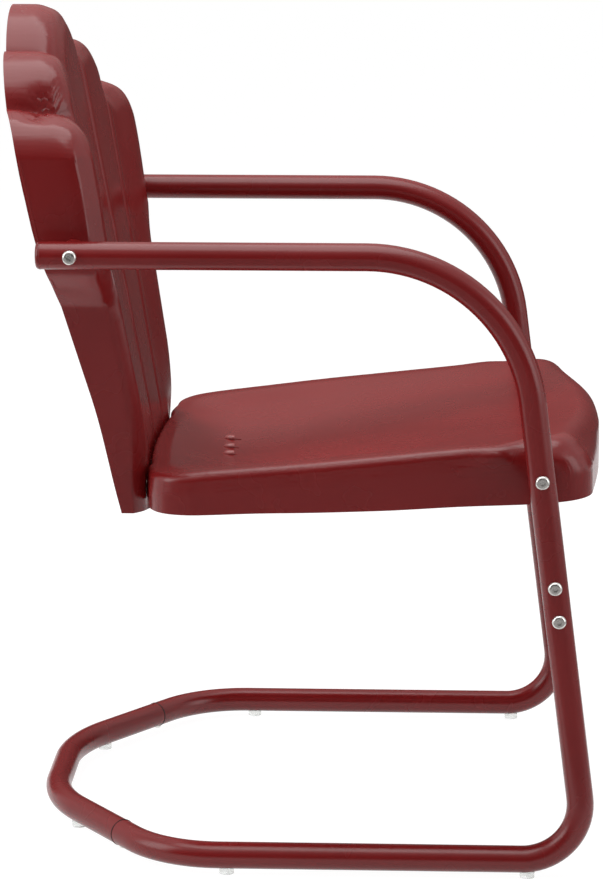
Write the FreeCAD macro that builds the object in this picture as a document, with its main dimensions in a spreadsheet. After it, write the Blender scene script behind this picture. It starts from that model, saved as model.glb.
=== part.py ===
import FreeCAD, Part
import math
import os
import re
import Sketcher
from FreeCAD import Vector

# Spring lawn chair of bent steel tube with a pressed steel seat and a pressed five petal back.
# X runs across the chair with the sitter's left at plus X, minus Y is the front and Z is up.
# The origin is on the floor, midway between the front of the seat and the rear of the back.

# Driving dimensions in millimetres and degrees
DIMENSIONS = {
    "tube_od": 27.0,             # outside diameter of the frame tube
    "tube_wall": 1.2,
    "half_spacing": 261.0,       # centre plane of the chair to the tube centreline
    "arm_height": 626.5,         # floor to the arm tube centreline
    "arm_overrun": 29.3,         # the arm tube ends this far behind the back's bolt
    "arm_bend_start": -70.0,     # where the arm starts to bend down
    "arm_bend_radius": 163.0,
    "upright_lean": 7.6,         # the upright runs forward as it goes down
    "seam_height": 286.0,        # butt joint between the arm tube and the leg tube
    "foot_bend_radius": 57.5,
    "glide_height": 5.0,         # floor to the underside of the rails
    "rail_end": 76.0,            # where the floor rail starts to bend inward
    "base_bend_radius": 113.0,
    "base_bend_angle": 53.0,
    "seam_run": 35.0,            # straight from the inward bend to the base seam
    "rear_run": 74.0,            # straight from the base seam to the rear bend
    "rear_bend_radius": 157.0,
    "fit_clearance": 0.05,       # radial play of inner tubes and nuts
    "sleeve_length": 110.0,
    "sleeve_wall": 2.0,
    "splice_pitch": 34.0,        # between the two bolts of an upright joint
    "spigot_length": 30.0,
    "bolt_size": 8.0,            # shank diameter
    "hole_clearance": 0.4,       # on the diameter of every bolt hole
    "head_diameter": 14.0,
    "head_height": 4.4,
    "nut_across": 13.0,
    "nut_height": 6.5,
    "washer_diameter": 16.0,
    "washer_thickness": 1.6,
    "spacer_diameter": 24.0,
    "back_bolt_setback": 31.4,   # front of the back's side to the back's bolts
    "seat_bolt_drop": 4.0,       # height of the seat's rim over the seat's bolts, both taken at the origin
    "cap_dome": 4.5,             # how far an end cap stands out of the arm
    "cap_plug": 14.0,
    "glide_diameter": 15.0,
    "glide_stem_diameter": 6.0,
    "front_glide": -234.0,
    "middle_glide": 68.0,
    "sheet_thickness": 1.0,      # pressed seat and back
    "seat_half_width": 234.0,
    "seat_front": -311.0,
    "seat_rear": 150.0,
    "seat_front_radius": 1500.0,
    "seat_front_corner": 48.0,
    "seat_rear_radius": 1150.0,
    "seat_rear_corner": 62.0,
    "seat_rim_height": 413.0,    # height of the rim over the origin
    "seat_rim_slope": 6.2,       # the rim climbs towards the front
    "seat_skirt_drop": 44.5,     # height of the seat's rim over the skirt's lower edge, both taken at the origin
    "seat_skirt_slope": 2.3,
    "seat_dish_rear": 5.0,       # how deep the pan is dished near the back
    "seat_dish_front": 4.0,
    "seat_edge_radius": 20.0,
    "back_drop": 22.5,           # height of the skirt's lower edge over the back's lower edge
    "back_recline": 11.0,
    "back_front": 153.0,         # front of the back on the centre plane, at its bottom edge
    "back_curve_radius": 1150.0,
    "petal_radius": 900.0,       # crown across the centre and inner petals
    "outer_petal_radius": 2500.0,
    "petal_edge_radius": 15.0,
    "joint_play": 0.3,           # between the bolted walls and the hardware, which meet at a slight angle
    "crease_overlap": 8.0,       # how far neighbouring petals run past their crease
    "back_bottom_half": 158.0,
    "back_waist_half": 199.0,
    "waist_rise": 40.0,          # height over which the waist widens to the arm flange
    "back_arm_half": 234.0,
    "flange_drop": 20.5,         # the arm flange starts this far under the arm's centreline
    "inner_crease": 28.6,        # centre plane to the first crease at the bottom edge
    "outer_crease": 89.6,
    "inner_crease_top": 69.0,    # the same at the crease top height
    "outer_crease_top": 156.0,
    "crease_rise": 173.5,        # arm centreline to the height where the top widths hold
    "centre_crown_rise": 138.2,  # arm centreline to the centre of each petal's round top
    "inner_crown_rise": 119.0,
    "outer_crown_rise": 80.5,
    "centre_crown_radius": 84.3,
    "inner_crown_radius": 62.5,
    "outer_crown_radius": 53.0,
    "rim_foot": 25.9,            # depth of the shell's rear rim behind the face, from the foot up
    "rim_waist": 98.0,
    "rim_arm": 113.0,
    "rim_top": 149.0,
    "rim_radius": 720.0,
}

# Sizes that follow from the driving ones
FORMULAS = {
    "rail_height": "glide_height + tube_od / 2",
    "seat_skirt_height": "seat_rim_height - seat_skirt_drop",
    "seat_bolt_height": "seat_rim_height - seat_bolt_drop",
    "back_bottom": "seat_skirt_height - back_drop",
    "bore": "tube_od / 2 - tube_wall",
    "plug_radius": "bore - fit_clearance",
    "tube_radius": "tube_od / 2",
    "outside": "half_spacing + tube_od / 2",
    "inside": "half_spacing - tube_od / 2",
    "bolt_radius": "bolt_size / 2",
    "hole_radius": "bolt_size / 2 + hole_clearance / 2",
    "lean_start": "arm_bend_start - arm_bend_radius * cos(upright_lean * 1deg)",
    "lean_top": "arm_height - arm_bend_radius + arm_bend_radius * sin(upright_lean * 1deg)",
    "lean_run": "tan(upright_lean * 1deg)",
    "seam_depth": "lean_start - (lean_top - seam_height) * lean_run",
    "seat_bolt_depth": "lean_start - (lean_top - seat_bolt_height) * lean_run",
    "seat_front_half": "seat_half_width - seat_front_corner",
    "seat_front_bow": "seat_front_radius - sqrt(seat_front_radius ^ 2 - seat_front_half ^ 2)",
    "seat_front_room": "seat_bolt_depth - washer_diameter / 2 - seat_front - seat_front_bow",
    "seat_front_bend": "min(seat_front_corner; seat_front_room)",
    "splice_rise": "splice_pitch / 2 * cos(upright_lean * 1deg)",
    "splice_shift": "splice_pitch / 2 * sin(upright_lean * 1deg)",
    "foot_drop": "seam_height - rail_height - foot_bend_radius",
    "foot_bend_start": "seam_depth + foot_bend_radius / cos(upright_lean * 1deg) - foot_drop * lean_run",
    "turn_sine": "sin(base_bend_angle * 1deg)",
    "turn_cosine": "cos(base_bend_angle * 1deg)",
    "seam_x": "half_spacing - base_bend_radius * (1 - turn_cosine) - seam_run * turn_sine",
    "seam_y": "rail_end + base_bend_radius * turn_sine + seam_run * turn_cosine",
    "rear_x": "seam_x - rear_run * turn_sine",
    "rear_y": "seam_y + rear_run * turn_cosine",
    "rear_flat": "rear_x - rear_bend_radius * turn_cosine",
    "rear_back": "rear_y + rear_bend_radius * (1 - turn_sine)",
    "screw_x": "seam_x + spigot_length / 2 * turn_sine",
    "screw_y": "seam_y - spigot_length / 2 * turn_cosine",
    "rim_run": "tan(seat_rim_slope * 1deg)",
    "skirt_run": "tan(seat_skirt_slope * 1deg)",
    "recline_run": "tan(back_recline * 1deg)",
    "back_arm_height": "arm_height - flange_drop",
    "back_waist_height": "back_arm_height - waist_rise",
    "crease_top_height": "arm_height + crease_rise",
    "side_bow": "back_curve_radius * (1 - sqrt(1 - (back_arm_half / back_curve_radius) ^ 2))",
    "back_bolt_depth": "back_front + recline_run * (arm_height - back_bottom) - side_bow + back_bolt_setback",
    "arm_rear": "back_bolt_depth + arm_overrun",
    "joint_z": "seat_skirt_height - skirt_run * seat_rear + 5.8",
    "joint_lean": "recline_run * (joint_z - back_bottom)",
    "joint_x": "(outer_crease + back_bottom_half) / 2 + 1.2",
    "joint_bow": "sqrt(1 - (joint_x / back_curve_radius) ^ 2)",
    "joint_yaw": "90 - asin(joint_x / back_curve_radius) / 1deg",
    "joint_y": "back_front + joint_lean - back_curve_radius * (1 - joint_bow)",
    "joint_rear": "seat_rear + joint_lean - seat_rear_radius * (1 - sqrt(1 - (joint_x / seat_rear_radius) ^ 2))",
    "joint_gap": "(joint_y - joint_rear) * cos(back_recline * 1deg)",
}
NAMES = set(DIMENSIONS) | set(FORMULAS)

doc = FreeCAD.newDocument("spring_lawn_chair")
sheet = doc.addObject("Spreadsheet::Sheet", "sizes")
for row, (alias, entry) in enumerate(list(DIMENSIONS.items()) + list(FORMULAS.items()), start=1):
    sheet.set("A%d" % row, alias)
    sheet.set("B%d" % row, "=" + entry if alias in FORMULAS else str(entry))
    sheet.setAlias("B%d" % row, alias)
doc.recompute()
scratch = doc.addObject("Spreadsheet::Sheet", "scratch")


# Helpers that tie sketches, features and placements to the sheet

def cells(formula):
    """Formula whose names point at the cells of the sheet."""
    return re.sub("[a-z_]+", lambda word: "sizes." + word.group() if word.group() in NAMES else word.group(),
                  str(formula))


def value(formula):
    """Present value of a formula."""
    scratch.set("A1", "=" + cells(formula))
    scratch.recompute()
    return float(scratch.get("A1"))


def bind(item, prop, formula):
    """Tie a property to a formula."""
    item.setExpression(prop, cells(formula))


def place(item, x="0", y="0", z="0", yaw="0", pitch="0", roll="0"):
    """Tie an object's placement to formulas."""
    bind(item, "Placement", "placement(vector(%s; %s; %s); rotation(%s; %s; %s))" % (x, y, z, yaw, pitch, roll))


def make_drill(name, radius, length, **where):
    """Cylinder along its own Z, centred on a point, that stands for a drilled hole."""
    drill = doc.addObject("Part::Cylinder", name)
    bind(drill, "Radius", radius)
    drill.Height = 2 * length
    place(drill, **where)
    swing = dict(drill.ExpressionEngine)["Placement"]
    drill.setExpression("Placement", swing + " * placement(vector(0; 0; -%d); rotation(0; 0; 0))" % length)
    return drill


def new_body(name):
    """Empty body."""
    body = doc.addObject("PartDesign::Body", name)
    body.Label = name
    return body


def new_feature(body, kind, **settings):
    """Feature at the end of a body."""
    feature = body.newObject("PartDesign::" + kind, body.Name + "_" + kind.lower())
    for name, setting in settings.items():
        setattr(feature, name, setting)
    return feature


def new_sketch(body, role, level="0"):
    """Sketch on an origin plane of the body, raised along the plane's normal."""
    sketch = body.newObject("Sketcher::SketchObject", body.Name + "_sketch")
    planes = [item for item in body.Origin.OriginFeatures if item.Role == role]
    sketch.AttachmentSupport = [(planes[0], "")]
    sketch.MapMode = "FlatFace"
    bind(sketch, "AttachmentOffset.Base.z", level)
    return sketch


def pin(sketch, geometry, point, x, y):
    """Hold a point of a sketch at two formulas."""
    for kind, formula, axis in (("DistanceX", x, -2), ("DistanceY", y, -1)):
        if formula == "0":
            sketch.addConstraint(Sketcher.Constraint("PointOnObject", geometry, point, axis))
        elif formula:
            index = sketch.addConstraint(Sketcher.Constraint(kind, -1, 1, geometry, point, value(formula)))
            bind(sketch, "Constraints[%d]" % index, formula)


def fix_radius(sketch, geometry, formula):
    """Hold the radius of a circle or an arc."""
    index = sketch.addConstraint(Sketcher.Constraint("Radius", geometry, value(formula)))
    bind(sketch, "Constraints[%d]" % index, formula)


def draw_polygon(sketch, points):
    """Closed polygon whose corners are pairs of formulas."""
    first = sketch.GeometryCount
    corners = [Vector(value(x), value(y), 0) for x, y in points]
    for start, end in zip(corners, corners[1:] + corners[:1]):
        sketch.addGeometry(Part.LineSegment(start, end))
    for index, (x, y) in enumerate(points):
        before = first + (index - 1) % len(points)
        sketch.addConstraint(Sketcher.Constraint("Coincident", before, 2, first + index, 1))
        pin(sketch, first + index, 1, x, y)


def draw_circle(sketch, x, y, radius):
    """Circle whose centre and radius are formulas."""
    index = sketch.addGeometry(Part.Circle(Vector(value(x), value(y), 0), Vector(0, 0, 1), value(radius)))
    fix_radius(sketch, index, radius)
    pin(sketch, index, 3, x, y)


def draw_hexagon(sketch, radius):
    """Hexagon round the sketch's origin with its corners at a radius."""
    corners = ["%s * cos(%d * 1deg)" % (radius, turn) for turn in range(0, 360, 60)]
    heights = ["%s * sin(%d * 1deg)" % (radius, turn) for turn in range(0, 360, 60)]
    draw_polygon(sketch, list(zip(corners, heights)))


def draw_bend(sketch, start, corner, radius, end):
    """Open path: a line from start to corner, a tangent bend and a tangent line to end."""
    begin, turn, finish = [Vector(value(x), value(y), 0) for x, y in (start, corner, end)]
    along = (turn - begin).normalize()
    left = Vector(-along.y, along.x, 0)
    side = 1 if (finish - turn).dot(left) > 0 else -1
    bend = value(radius)
    centre = turn + left * side * bend
    reach = finish - centre
    angle = math.atan2(reach.y, reach.x) - side * math.acos(bend / reach.Length)
    leave = centre + Vector(math.cos(angle), math.sin(angle), 0) * bend
    first = math.atan2((turn - centre).y, (turn - centre).x)
    span = (first, angle) if side > 0 else (angle, first)
    enter_point, leave_point = (1, 2) if side > 0 else (2, 1)
    sketch.addGeometry(Part.LineSegment(begin, turn))
    sketch.addGeometry(Part.ArcOfCircle(Part.Circle(centre, Vector(0, 0, 1), bend), *span))
    sketch.addGeometry(Part.LineSegment(leave, finish))
    sketch.addConstraint(Sketcher.Constraint("Tangent", 0, 2, 1, enter_point))
    sketch.addConstraint(Sketcher.Constraint("Tangent", 1, leave_point, 2, 1))
    fix_radius(sketch, 1, radius)
    pin(sketch, 0, 1, *start)
    pin(sketch, 0, 2, *corner)
    pin(sketch, 2, 2, *end)


def add_tube(body, path_plane, level, path, ring_plane, ring_level, ring_centre):
    """Bent tube along a path."""
    spine = new_sketch(body, path_plane, level)
    draw_bend(spine, *path)
    ring = new_sketch(body, ring_plane, ring_level)
    draw_circle(ring, *ring_centre, "tube_radius")
    draw_circle(ring, *ring_centre, "bore")
    doc.recompute()
    pipe = new_feature(body, "AdditivePipe", Profile=ring, Refine=False)
    pipe.Spine = (spine, ["Edge1", "Edge2", "Edge3"])
    doc.recompute()
    return pipe


def add_cross_holes(body, centres, radius="hole_radius"):
    """Holes right through a body along X."""
    sketch = new_sketch(body, "YZ_Plane")
    for y, z in centres:
        draw_circle(sketch, y, z, radius)
    pocket = new_feature(body, "Pocket", Profile=sketch, Type="ThroughAll", Midplane=True)
    doc.recompute()
    return pocket


def add_floor_holes(body, centres):
    """Holes through the lower wall of a rail, as (x, y, radius)."""
    sketch = new_sketch(body, "XY_Plane", "rail_height")
    for x, y, radius in centres:
        draw_circle(sketch, x, y, radius)
    pocket = new_feature(body, "Pocket", Profile=sketch, Type="Length")
    bind(pocket, "Length", "tube_od")
    doc.recompute()
    return pocket


def add_turning(body, points, role="XY_Plane", axis="H_Axis"):
    """Turned solid whose half profile is a polygon."""
    sketch = new_sketch(body, role)
    draw_polygon(sketch, points)
    turning = new_feature(body, "Revolution", Profile=sketch, ReferenceAxis=(sketch, [axis]), Angle=360)
    doc.recompute()
    return turning


def round_edges(body, feature, chosen, radius):
    """Fillet on the edges of a feature that a test picks."""
    names = ["Edge%d" % (index + 1) for index, edge in enumerate(feature.Shape.Edges) if chosen(edge)]
    fillet = new_feature(body, "Fillet", Base=(feature, names))
    bind(fillet, "Radius", radius)
    doc.recompute()
    return fillet


def middle(edge):
    """Point halfway along an edge."""
    return edge.valueAt((edge.FirstParameter + edge.LastParameter) / 2)


def mirror(source, name):
    """The same piece for the other side of the chair."""
    twin = doc.addObject("Part::Mirroring", name)
    twin.Label = name
    twin.Source = source
    twin.Normal = Vector(1, 0, 0)
    return twin


def combine(kind, name, shapes):
    """Boolean or group of several shapes."""
    result = doc.addObject("Part::" + kind, name)
    result.Label = name
    setattr(result, "Links" if kind == "Compound" else "Shapes", shapes)
    return result


def subtract(name, base, tool):
    """One shape cut out of another."""
    result = doc.addObject("Part::Cut", name)
    result.Label = name
    result.Base = base
    result.Tool = tool
    return result


nodes = []


def keep(piece, both_sides=False):
    """Hand in a piece, and its mirror image where the chair has one on either side."""
    nodes.append(piece)
    if both_sides:
        nodes.append(mirror(piece, piece.Label.replace("left_", "right_")))
    return piece


# Arm tubes: level arm, front bend and upright down to the seam
arm = new_body("left_arm_tube")
place(arm, x="half_spacing")
add_tube(arm, "YZ_Plane", "0",
         (("arm_rear", "arm_height"), ("arm_bend_start", "arm_height"), "arm_bend_radius",
          ("seam_depth", "seam_height")),
         "XZ_Plane", "-arm_rear", ("0", "arm_height"))
SPLICES = [("seam_depth + splice_shift", "seam_height + splice_rise"),
           ("seam_depth - splice_shift", "seam_height - splice_rise")]
add_cross_holes(arm, [("back_bolt_depth", "arm_height"), ("seat_bolt_depth", "seat_bolt_height"), SPLICES[0]])
keep(arm, both_sides=True)

# Leg tubes: upright stub, foot bend, floor rail and the inward bend to the base seam
leg = new_body("left_leg_tube")
place(leg, x="half_spacing")
add_tube(leg, "YZ_Plane", "0",
         (("0", "rail_height"), ("foot_bend_start", "rail_height"), "foot_bend_radius",
          ("seam_depth", "seam_height")),
         "XZ_Plane", "0", ("0", "rail_height"))
add_tube(leg, "XY_Plane", "rail_height",
         (("0", "0"), ("0", "rail_end"), "base_bend_radius", ("seam_x - half_spacing", "seam_y")),
         "XZ_Plane", "0", ("0", "rail_height"))
add_cross_holes(leg, [SPLICES[1]])
add_floor_holes(leg, [("0", "front_glide", "glide_stem_diameter / 2 + fit_clearance"),
                      ("0", "middle_glide", "glide_stem_diameter / 2 + fit_clearance"),
                      ("screw_x - half_spacing", "screw_y", "2.6")])
keep(leg, both_sides=True)

# Rear base tube: half a U with a swaged spigot, mirrored over the centre plane
rear = new_body("rear_base_tube")
half_pipe = add_tube(rear, "XY_Plane", "rail_height",
                     (("0", "rear_back"), ("rear_flat", "rear_back"), "rear_bend_radius",
                      ("seam_x", "seam_y")),
                     "YZ_Plane", "0", ("rear_back", "rail_height"))
spigot_sketch = new_sketch(rear, "XY_Plane")
bind(spigot_sketch, "AttachmentOffset",
     "placement(vector(seam_x; seam_y; rail_height); rotation(base_bend_angle - 90; 0; 0))")
draw_polygon(spigot_sketch, [("-3", "bore - tube_wall"), ("spigot_length", "bore - tube_wall"),
                             ("spigot_length", "plug_radius"), ("0", "plug_radius"),
                             ("0", "bore + tube_wall / 2"), ("-3", "bore + tube_wall / 2")])
spigot = new_feature(rear, "Revolution", Profile=spigot_sketch,
                     ReferenceAxis=(spigot_sketch, ["H_Axis"]), Angle=360)
doc.recompute()
twin_half = new_feature(rear, "Mirrored", Originals=[half_pipe, spigot])
twin_half.MirrorPlane = ([item for item in rear.Origin.OriginFeatures if item.Role == "YZ_Plane"][0], [""])
rear.Tip = twin_half
doc.recompute()
rear_holes = [(sign + "rear_x", "rear_y", "glide_stem_diameter / 2 + fit_clearance") for sign in ("", "-")]
rear_holes += [(sign + "screw_x", "screw_y", "2.1") for sign in ("", "-")]
add_floor_holes(rear, rear_holes)
keep(rear)

# Splice sleeves inside the upright joints
sleeve = new_body("left_splice_sleeve")
place(sleeve, x="half_spacing", y="seam_depth", z="seam_height", roll="-upright_lean")
add_turning(sleeve, [("plug_radius - sleeve_wall", "-sleeve_length / 2"), ("plug_radius", "-sleeve_length / 2"),
                     ("plug_radius", "sleeve_length / 2"), ("plug_radius - sleeve_wall", "sleeve_length / 2")],
            "XZ_Plane", "V_Axis")
add_cross_holes(sleeve, [("0", "splice_pitch / 2"), ("0", "-splice_pitch / 2")])
keep(sleeve, both_sides=True)

# End caps in the rear ends of the arms
cap = new_body("left_arm_end_cap")
place(cap, x="half_spacing", z="arm_height")
cap_solid = add_turning(cap, [("0", "arm_rear - cap_plug"), ("plug_radius", "arm_rear - cap_plug"),
                              ("plug_radius", "arm_rear"), ("tube_radius", "arm_rear"),
                              ("tube_radius", "arm_rear + cap_dome"), ("0", "arm_rear + cap_dome")],
                        "XY_Plane", "V_Axis")
round_edges(cap, cap_solid,
            lambda edge: edge.Curve.TypeId == "Part::GeomCircle" and edge.Curve.Radius > value("bore")
            and edge.Curve.Center.y > value("arm_rear + 1"), "cap_dome - 0.8")
keep(cap, both_sides=True)


# Bolts, washers, nuts and spacers lie along X and are named by where their axis runs

def make_ring(name, start, end, radius, hole, x="0", y="0", z="0", yaw="0", pitch="0"):
    """Washer, spacer or other plain ring."""
    body = new_body(name)
    place(body, x, y, z, yaw, pitch)
    add_turning(body, [(start, hole), (end, hole), (end, radius), (start, radius)])
    return body


def make_nut(name, start, x="0", y="0", z="0", yaw="0", pitch="0", scale="1"):
    """Hexagon nut that reaches from its bearing face towards minus X."""
    body = new_body(name)
    place(body, x, y, z, yaw, pitch)
    sketch = new_sketch(body, "YZ_Plane", "%s - %s * nut_height" % (start, scale))
    draw_hexagon(sketch, scale + " * nut_across / sqrt(3)")
    draw_circle(sketch, "0", "0", scale + " * bolt_radius + fit_clearance")
    pad = new_feature(body, "Pad", Profile=sketch)
    bind(pad, "Length", scale + " * nut_height")
    doc.recompute()
    return body


def make_bolt(name, seat, tip, x="0", y="0", z="0", yaw="0", pitch="0", scale="1"):
    """Button head bolt with a hexagon socket; the head bears at seat and the shank ends at tip."""
    body = new_body(name)
    place(body, x, y, z, yaw, pitch)
    shank, rim, crown = [scale + " * " + word for word in ("bolt_radius", "head_diameter / 2", "head_height")]
    top = "%s + %s" % (seat, crown)
    solid = add_turning(body, [(tip, "0"), (tip, shank), (seat, shank), (seat, rim), (top, rim), (top, "0")])
    round_edges(body, solid, lambda edge: abs(middle(edge).x - value(top)) < 0.01, crown + " * 0.7")
    socket = new_sketch(body, "YZ_Plane", top)
    draw_hexagon(socket, rim + " * 0.4")
    pocket = new_feature(body, "Pocket", Profile=socket, Type="Length")
    bind(pocket, "Length", crown + " * 0.55")
    doc.recompute()
    return body


AXES = {"back": ("back_bolt_depth", "arm_height", "back_arm_half - sheet_thickness"),
        "seat": ("seat_bolt_depth", "seat_bolt_height", "seat_half_width - sheet_thickness")}
for purpose, (depth, height, face) in AXES.items():
    washer_end = face + " - washer_thickness"
    place_words = {"y": depth, "z": height}
    keep(make_bolt("left_%s_bolt" % purpose, "outside", washer_end + " - nut_height - 2", **place_words), True)
    keep(make_ring("left_%s_spacer" % purpose, face + " + sheet_thickness", "inside", "spacer_diameter / 2",
                   "hole_radius", **place_words), True)
    keep(make_ring("left_%s_washer" % purpose, washer_end, face, "washer_diameter / 2", "hole_radius",
                   **place_words), True)
    keep(make_nut("left_%s_nut" % purpose, washer_end, **place_words), True)

splice_bolts, splice_washers, splice_nuts = [], [], []
for row, (depth, height) in enumerate(SPLICES):
    place_words = {"y": depth, "z": height}
    splice_bolts.append(make_bolt("splice_bolt_%d" % row, "outside",
                                  "inside - washer_thickness - nut_height - 2", **place_words))
    splice_washers.append(make_ring("splice_washer_%d" % row, "inside - washer_thickness", "inside",
                                    "washer_diameter / 2", "hole_radius", **place_words))
    splice_nuts.append(make_nut("splice_nut_%d" % row, "inside - washer_thickness", **place_words))
keep(combine("Compound", "left_splice_bolts", splice_bolts), True)
keep(combine("Compound", "left_splice_washers", splice_washers), True)
keep(combine("Compound", "left_splice_nuts", splice_nuts), True)

# Smaller bolts join the back's lower edge to the rear wall of the seat
JOINT = {"x": "joint_x", "y": "joint_y", "z": "joint_z", "yaw": "joint_yaw", "pitch": "back_recline"}
wall = "-joint_gap - sheet_thickness"
joint_bolt = make_bolt("joint_bolt", "sheet_thickness + 0.08", wall + " - 8", scale="0.75", **JOINT)
joint_washer = make_ring("joint_washer", "-joint_gap + joint_play", "-joint_play", "6", "3.2", **JOINT)
joint_nut = make_nut("joint_nut", wall + " - joint_play", scale="0.75", **JOINT)
for piece, name in ((joint_bolt, "seat_to_back_bolts"), (joint_washer, "seat_to_back_washers"),
                    (joint_nut, "seat_to_back_nuts")):
    keep(combine("Compound", name, [piece, mirror(piece, "other_" + piece.Name)]))

# Pan head screws that hold the base joints, seen only from below
screw = new_body("base_joint_screw")
place(screw, "screw_x", "screw_y", "glide_height", "0", "90")
add_turning(screw, [("-7", "0"), ("-7", "2"), ("0", "2"), ("0", "4"), ("1.6", "4"), ("2.4", "3"), ("2.4", "0")])
keep(combine("Compound", "base_joint_screws", [screw, mirror(screw, "other_base_joint_screw")]))


# Clear glides under the rails

def make_glide(name, x, y, yaw):
    """Button with a saddle for the tube and a stem in the tube's lower wall."""
    body = new_body(name)
    place(body, x, y, "0", yaw)
    add_turning(body, [("0", "0"), ("glide_diameter / 2", "0"), ("glide_diameter / 2", "glide_height + 3"),
                       ("0", "glide_height + 3")], "XZ_Plane", "V_Axis")
    saddle = new_sketch(body, "XZ_Plane")
    draw_circle(saddle, "0", "rail_height", "tube_radius + 0.3")
    new_feature(body, "Pocket", Profile=saddle, Type="ThroughAll", Midplane=True)
    doc.recompute()
    add_turning(body, [("0", "1"), ("glide_stem_diameter / 2", "1"), ("glide_stem_diameter / 2", "glide_height + 5"),
                       ("0", "glide_height + 5")], "XZ_Plane", "V_Axis")
    return body


keep(make_glide("left_front_glide", "half_spacing", "front_glide", "0"), True)
keep(make_glide("left_middle_glide", "half_spacing", "middle_glide", "0"), True)
keep(make_glide("left_rear_glide", "rear_x", "rear_y", "base_bend_angle"), True)

# Seat pan: side profile, plan outline, dish and rolled edge, once outside and once inside the sheet

def trim_end(body, edge, radius, corner, inset, sign, lean):
    """Cut the seat's plan outline beyond one end; sign is -1 at the front and 1 at the rear."""
    sketch = new_sketch(body, "XY_Plane", "back_bottom - 60")
    radius, corner, wide = [word + " - " + inset for word in (radius, corner, "seat_half_width")]
    centre_text = "%s - %d * (%s) - %d * %s" % (edge, sign, radius, sign, inset)
    half, bow, bend, centre = value(wide), value(radius), value(corner), value(centre_text)
    corner_x = half - bend
    corner_y = centre + sign * math.sqrt((bow - bend) ** 2 - corner_x ** 2)
    swing = math.atan2(corner_y - centre, corner_x)
    start_text, far_text = "-100 - %d * 40" % sign, "%s + %d * 80" % (edge, sign)
    low, high = (1, 2) if sign > 0 else (2, 1)
    sweeps = [(swing, math.pi - swing), (0, swing), (math.pi - swing, math.pi)]
    if sign < 0:
        sweeps = [(-math.pi - swing, swing), (swing, 0), (-math.pi, -math.pi - swing)]
    centres = [Vector(0, centre, 0), Vector(corner_x, corner_y, 0), Vector(-corner_x, corner_y, 0)]
    for point, reach, sweep in zip(centres, (bow, bend, bend), sweeps):
        sketch.addGeometry(Part.ArcOfCircle(Part.Circle(point, Vector(0, 0, 1), reach), *sweep))
    path = [Vector(half, corner_y, 0), Vector(half, value(start_text), 0), Vector(half + 20, value(start_text), 0),
            Vector(half + 20, value(far_text), 0)]
    path += [Vector(-point.x, point.y, 0) for point in reversed(path)]
    for begin, end in zip(path, path[1:]):
        sketch.addGeometry(Part.LineSegment(begin, end))
    for first, point, second, other in ((0, low, 1, high), (0, high, 2, low), (1, low, 3, 1), (2, high, 9, 2)):
        sketch.addConstraint(Sketcher.Constraint("Tangent", first, point, second, other))
    for index in range(3, 9):
        sketch.addConstraint(Sketcher.Constraint("Coincident", index, 2, index + 1, 1))
    pin(sketch, 0, 3, "0", centre_text)
    for index, text in enumerate((radius, corner, corner)):
        fix_radius(sketch, index, text)
    for index, (more, deep) in enumerate(zip(("", " + 20", " + 20"), (start_text, start_text, far_text))):
        pin(sketch, 3 + index, 2, wide + more, deep)
        pin(sketch, 9 - index, 1, "-(%s%s)" % (wide, more), deep)
    cut = new_feature(body, "Pocket", Profile=sketch, Type="ThroughAll", Reversed=True)
    if lean:
        cut.UseCustomVector = True
        cut.Direction = Vector(0, -value("recline_run"), -1)
        bind(cut, "Direction.y", "-recline_run")
    doc.recompute()


def make_pan(name, inset):
    """Solid under the seat's surface; inset is the sheet thickness for the inner side of the sheet."""
    body = new_body(name)
    profile = new_sketch(body, "YZ_Plane")
    ends = ("seat_front - 10", "seat_rear + 40")
    draw_polygon(profile, [(end, "seat_skirt_height - skirt_run * (%s) - 15 * %s" % (end, inset)) for end in ends]
                 + [(end, "seat_rim_height + 5 - rim_run * (%s)" % end) for end in reversed(ends)])
    block = new_feature(body, "Pad", Profile=profile, Midplane=True)
    bind(block, "Length", "2 * seat_half_width + 10")
    doc.recompute()
    trim_end(body, "seat_front", "seat_front_radius", "seat_front_bend", inset, -1, False)
    trim_end(body, "seat_rear - 60 * recline_run", "seat_rear_radius", "seat_rear_corner", inset, 1, True)
    sections = []
    for end, sag in (("seat_front - 20", "seat_dish_front"), ("seat_rear + 60", "seat_dish_rear")):
        section = new_sketch(body, "XZ_Plane", "-(%s)" % end)
        rim_text = "seat_rim_height - %s - rim_run * (%s)" % (inset, end)
        half, drop, rim = value("seat_half_width + 1"), value(sag), value(rim_text)
        bow = (half ** 2 + drop ** 2) / (2 * drop)
        span = math.asin(half / bow)
        section.addGeometry(Part.ArcOfCircle(Part.Circle(Vector(0, rim - drop + bow, 0), Vector(0, 0, 1), bow),
                                             -math.pi / 2 - span, -math.pi / 2 + span))
        path = [Vector(half, rim, 0), Vector(half, rim + 40, 0), Vector(-half, rim + 40, 0), Vector(-half, rim, 0)]
        for begin, finish in zip(path, path[1:]):
            section.addGeometry(Part.LineSegment(begin, finish))
        for index in range(4):
            section.addConstraint(Sketcher.Constraint("Coincident", index, 2, (index + 1) % 4, 1))
        for geometry, point, sign, more in ((0, 2, "", ""), (0, 1, "-", ""), (1, 2, "", " + 40"), (2, 2, "-", " + 40")):
            pin(section, geometry, point, sign + "(seat_half_width + 1)", rim_text + more)
        fix_radius(section, 0, "((seat_half_width + 1) ^ 2 + %s ^ 2) / (2 * %s)" % (sag, sag))
        sections.append(section)
    dish = new_feature(body, "SubtractiveLoft", Profile=sections[0], Sections=[sections[1]], Ruled=True)
    doc.recompute()
    top = [face for face in dish.Shape.Faces if face.normalAt(*face.Surface.parameter(face.CenterOfMass)).z > 0.7]
    round_edges(body, dish, lambda edge: any(edge.isSame(item) for face in top for item in face.Edges),
                "seat_edge_radius - " + inset)
    return body


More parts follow.
